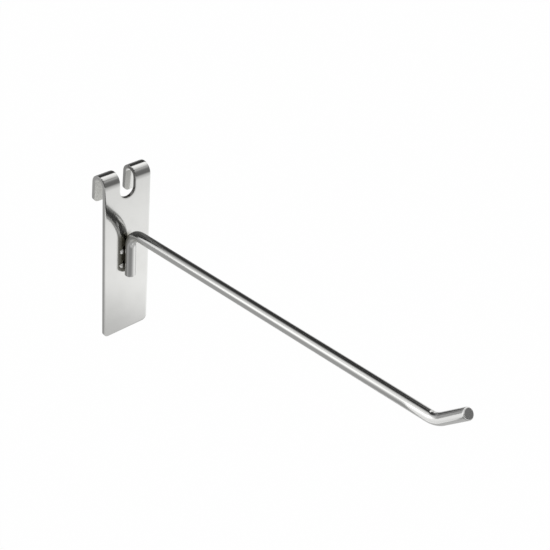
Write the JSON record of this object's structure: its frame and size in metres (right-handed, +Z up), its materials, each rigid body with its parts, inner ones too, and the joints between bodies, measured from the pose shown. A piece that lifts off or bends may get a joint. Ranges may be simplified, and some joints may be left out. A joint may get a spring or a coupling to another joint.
{
  "type": "gridwall hook",
  "caption": "Display hook for a wire grid panel: a folded back plate with ears that hang on a grid wire, and a long round wire arm with an upturned tip, welded to its front.",
  "frame": {"origin": "on the axis of the grid wire that the ears hang on, midway across the plate", "axes": "+Z up, the arm points towards -Y, +X along the grid wire across the plate"},
  "size_m": [0.0318, 0.2558, 0.1095],
  "materials": {
    "plated_strip": "bright plated strip steel with faint rolling lines",
    "plated_wire": "bright plated drawn wire with faint lengthwise draw lines",
    "plated_weld": "plated weld bead, slightly rippled"
  },
  "bodies": {
    "root": {"back_plate": "plated_strip", "hook_wire": "plated_wire", "weld_lower": "plated_weld", "weld_upper": "plated_weld"}
  },
  "joints": []
}
